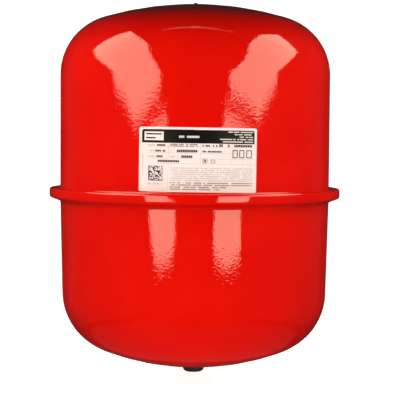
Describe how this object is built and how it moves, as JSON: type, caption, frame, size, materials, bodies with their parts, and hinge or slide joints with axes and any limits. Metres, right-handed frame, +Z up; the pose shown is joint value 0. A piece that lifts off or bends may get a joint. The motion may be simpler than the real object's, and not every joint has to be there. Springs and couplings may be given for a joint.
{
  "type": "expansion vessel",
  "caption": "Closed heating expansion vessel: two domed steel shells clenched over a rubber diaphragm, with a capped air valve on top and a capped threaded connection below.",
  "frame": {"origin": "centre of the water connection's lower end face, on the vessel's axis", "axes": "+Z up along the vessel's axis, from the water connection to the air valve; -Y faces the rating label; +X to the right of someone reading it"},
  "size_m": [0.324, 0.324, 0.4138],
  "materials": {
    "red_coated_steel": "gloss",
    "red_coated_steel_lower": "gloss",
    "red_coated_weld": "gloss",
    "black_rubber": "matte",
    "cap_rubber": "matte",
    "zinc_steel": "satin",
    "spring_steel": "satin",
    "plated_brass": "satin",
    "bare_brass": "satin",
    "seal_plastic": "matte",
    "black_polythene": "satin",
    "black_nylon": "satin",
    "white_label_film": "satin"
  },
  "bodies": {
    "vessel": {"upper_shell": "red_coated_steel", "lower_shell": "red_coated_steel_lower", "diaphragm_rim": "black_rubber", "diaphragm_skirt": "black_rubber", "connection_nipple": "zinc_steel", "nipple_weld": "red_coated_weld", "valve_stem": "plated_brass", "valve_gasket": "black_rubber", "valve_washer": "zinc_steel", "valve_nut": "zinc_steel", "core_plug": "bare_brass", "core_barrel": "bare_brass", "core_seal": "seal_plastic", "core_spring": "spring_steel", "vessel_label": "white_label_film"},
    "diaphragm": {"diaphragm_crown": "black_rubber"},
    "protector": {"thread_protector": "black_polythene"},
    "cap_seal": {"dust_cap_seal": "cap_rubber"},
    "cap": {"dust_cap": "black_nylon"},
    "valve_pin": {"core_pin": "bare_brass", "core_cup": "cap_rubber"}
  },
  "joints": [
    {"name": "diaphragm_travel", "type": "slide", "parent": "vessel", "child": "diaphragm", "axis": [0, 0, 1], "range_m": [0, 0.15], "deforming": ["diaphragm_skirt"]},
    {"name": "protector_pull", "type": "slide", "parent": "vessel", "child": "protector", "axis": [0, 0, -1], "range_m": [0, 0.02]},
    {"name": "cap_rise", "type": "slide", "parent": "vessel", "child": "cap_seal", "axis": [0, 0, 1], "range_m": [0, 0.00635]},
    {"name": "cap_unscrew", "type": "hinge", "parent": "cap_seal", "child": "cap", "pos_m": [0, 0, 0.4067], "axis": [0, 0, 1], "range_deg": [0, 2880]},
    {"name": "valve_pin_press", "type": "slide", "parent": "vessel", "child": "valve_pin", "axis": [0, 0, -1], "range_m": [0, 0.0012], "stiffness_N_per_m": 400, "springref_m": -0.001, "deforming": ["core_spring"]}
  ],
  "couplings": [
    {"joint": "cap_unscrew", "follows": "cap_rise", "rad_per_m": 7915.8}
  ]
}
